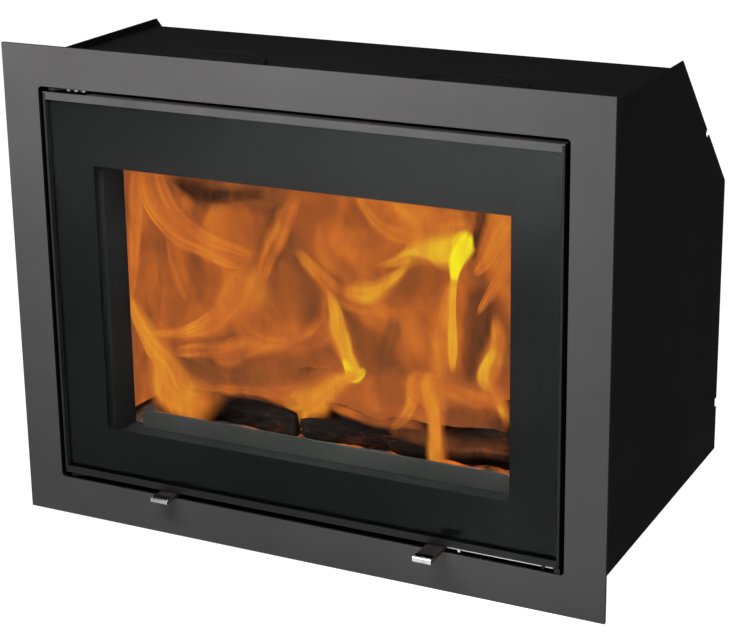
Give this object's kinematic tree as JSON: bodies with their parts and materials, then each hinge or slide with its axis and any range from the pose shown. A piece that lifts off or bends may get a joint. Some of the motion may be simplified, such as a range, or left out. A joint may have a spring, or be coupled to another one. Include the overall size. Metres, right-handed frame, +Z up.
{
  "type": "fireplace insert",
  "caption": "Built-in wood-burning fireplace insert: flat surround frame, side-hung glazed door with a sliding bolt, lined firebox, pull-out air control and a sloping flue outlet.",
  "frame": {"origin": "middle of the object's footprint, on the hearth that its feet stand on", "axes": "+X to the right seen from the front, +Y into the chimney breast, +Z up"},
  "size_m": [0.8, 0.55, 0.622],
  "materials": {
    "frame_steel": "matt metallic grey stove paint",
    "casing_paint": "matt black",
    "firebox_paint": "matt black, heat-darkened",
    "door_paint": "satin black",
    "rim_steel": "dark satin",
    "zinc_steel": "dull zinc",
    "bright_steel": "bright satin",
    "chrome": "polished",
    "cast_iron": "raw, sooty",
    "fireboard": "pressed fireproof board, sooty",
    "clear_glass": "clear ceramic glass",
    "black_enamel": "gloss black print",
    "rope_seal": "woven glass-fibre rope",
    "firewood": "charred split logs",
    "embers": "charcoal and ash"
  },
  "bodies": {
    "casing": {"surround_frame": "frame_steel", "casing_side_left": "casing_paint", "casing_side_right": "casing_paint", "casing_top": "casing_paint", "casing_slope": "casing_paint", "casing_back": "casing_paint", "casing_bottom": "casing_paint", "hot_air_cover_left": "casing_paint", "hot_air_cover_right": "casing_paint", "levelling_foot_front_left": "zinc_steel", "levelling_foot_front_right": "zinc_steel", "levelling_foot_rear_left": "zinc_steel", "levelling_foot_rear_right": "zinc_steel", "firebox_front": "firebox_paint", "firebox_side_left": "firebox_paint", "firebox_side_right": "firebox_paint", "firebox_top": "firebox_paint", "firebox_slope": "firebox_paint", "firebox_back": "firebox_paint", "firebox_floor": "firebox_paint", "flue_socket": "zinc_steel", "side_liner_left": "fireboard", "side_liner_right": "fireboard", "rear_liner": "fireboard", "hearth_slab_front": "fireboard", "hearth_slab_rear": "fireboard", "hearth_slab_left": "fireboard", "hearth_slab_right": "fireboard", "grate": "cast_iron", "ash_pan": "zinc_steel", "ash_and_air_box": "firebox_paint", "baffle": "fireboard", "smoke_deflector": "cast_iron", "log_guard": "cast_iron", "hinge_plate_top": "bright_steel", "hinge_plate_bottom": "door_paint", "hinge_pin_top": "bright_steel", "hinge_pin_bottom": "bright_steel", "hinge_washer": "bright_steel", "bolt_keeper": "door_paint", "ember_bed": "embers", "log_left": "firewood", "log_right": "firewood", "log_rear": "firewood"},
    "door": {"door_frame": "door_paint", "door_top_bar": "rim_steel", "door_bottom_bar": "door_paint", "door_glass": "clear_glass", "glass_print": "black_enamel", "glass_tape": "rope_seal", "door_seal": "rope_seal", "bolt_guide_left": "bright_steel", "bolt_guide_right": "bright_steel"},
    "door_bolt": {"bolt_handle": "door_paint", "bolt_handle_cap": "chrome", "bolt_bar": "bright_steel"},
    "air_control": {"air_slide": "zinc_steel", "air_tab": "door_paint", "air_tab_cap": "chrome"}
  },
  "joints": [
    {"name": "door_hinge", "type": "hinge", "parent": "casing", "child": "door", "pos_m": [-0.332, -0.224, 0.3], "axis": [0, 0, -1], "range_deg": [0, 100]},
    {"name": "bolt_slide", "type": "slide", "parent": "door", "child": "door_bolt", "axis": [1, 0, 0], "range_m": [0, 0.014]},
    {"name": "air_slide_pull", "type": "slide", "parent": "casing", "child": "air_control", "axis": [0, -1, 0], "range_m": [0, 0.025]}
  ]
}
